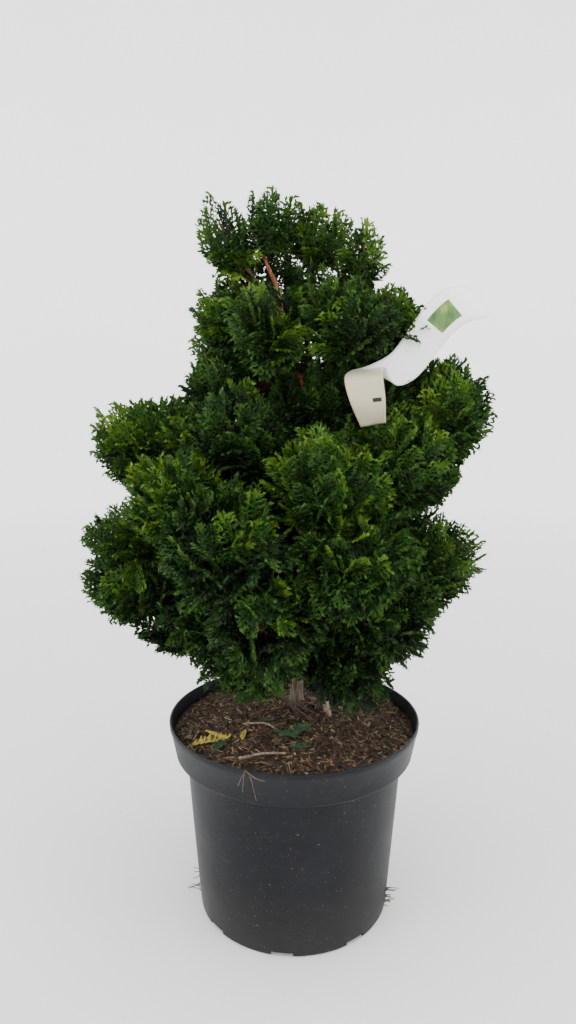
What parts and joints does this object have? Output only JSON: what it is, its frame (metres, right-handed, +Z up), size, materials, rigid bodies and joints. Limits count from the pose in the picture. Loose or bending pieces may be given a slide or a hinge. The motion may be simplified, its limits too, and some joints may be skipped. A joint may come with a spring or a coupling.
{
  "type": "potted dwarf hinoki cypress",
  "caption": "Dwarf hinoki cypress with dense fan-like evergreen sprays, rooted in a round nursery pot of soil, with a bare looped plant label.",
  "frame": {"origin": "centre of the pot's flat underside, on the pot's axis", "axes": "+Z up along the pot's axis, -Y towards the front of the plant, +X to its right as seen from the front"},
  "size_m": [0.382, 0.3067, 0.7228],
  "materials": {
    "pot": "matt dark blue-grey moulded plastic, dusty and scuffed",
    "soil": "rough bark mulch over potting soil",
    "bark": "fibrous reddish-brown bark, greyer at the foot",
    "foliage": "satin scale leaves, mid to dark green with yellow-green tips",
    "label": "smooth white plastic strip with a faint sheen"
  },
  "bodies": {
    "root": {"pot": "pot", "soil": "soil", "plant_label": "label", "trunk": "bark", "back_left_bough": "bark", "back_low_left_bough": "bark", "back_low_right_bough": "bark", "back_right_bough": "bark", "front_centre_left_bough": "bark", "front_left_bough": "bark", "front_right_plume_bough": "bark", "left_bright_bough": "bark", "left_low_bough": "bark", "left_shoulder_outer_bough": "bark", "left_tip_bough": "bark", "right_low_front_bough": "bark", "right_low_outer_bough": "bark", "right_lower_front_bough": "bark", "right_mid_bough": "bark", "right_plume_outer_bough": "bark", "top_right_bough": "bark", "upper_right_bough": "bark", "top_left": "foliage", "top_tip": "foliage", "top_right": "foliage", "top_centre": "foliage", "right_spike": "foliage", "left_upper": "foliage", "upper_centre": "foliage", "upper_right": "foliage", "upper_right_tip": "foliage", "left_small": "foliage", "left_shoulder_outer": "foliage", "left_shoulder_inner": "foliage", "left_bright": "foliage", "left_tip": "foliage", "left_low": "foliage", "low_left_fringe": "foliage", "front_left": "foliage", "front_centre_left": "foliage", "bottom_left": "foliage", "centre_left": "foliage", "centre": "foliage", "front_right_plume": "foliage", "right_plume_outer": "foliage", "right_mid": "foliage", "right_lower_front": "foliage", "right_low_outer": "foliage", "right_low_front": "foliage", "bottom_right": "foliage", "back_top": "foliage", "back_upper_left": "foliage", "back_upper_right": "foliage", "back_left": "foliage", "back_centre": "foliage", "back_right": "foliage", "back_low_left": "foliage", "back_low_centre": "foliage", "back_low_right": "foliage", "bottom_back": "foliage"}
  },
  "joints": []
}
